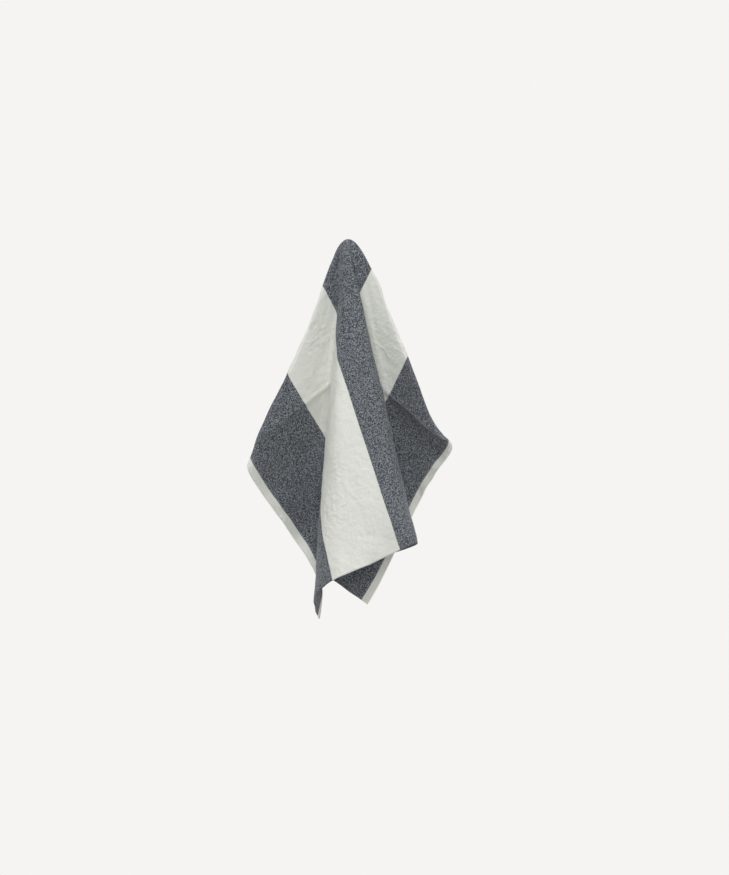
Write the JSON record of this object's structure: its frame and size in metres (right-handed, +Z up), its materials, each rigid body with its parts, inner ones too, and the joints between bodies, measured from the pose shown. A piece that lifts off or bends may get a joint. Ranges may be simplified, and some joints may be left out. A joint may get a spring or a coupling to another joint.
{
  "type": "cloth napkin",
  "caption": "Square striped cloth napkin, hung from one point so that it falls into soft folds with four loose corners.",
  "frame": {"origin": "top of the cloth at the point it hangs from", "axes": "+Z up, the front of the folds faces -Y, +X to the viewer's right"},
  "size_m": [0.2176, 0.1632, 0.4082],
  "materials": {
    "striped_cloth": "soft matt woven cloth in wide dark blue-grey and cream stripes"
  },
  "bodies": {
    "root": {"napkin": "striped_cloth"}
  },
  "joints": []
}
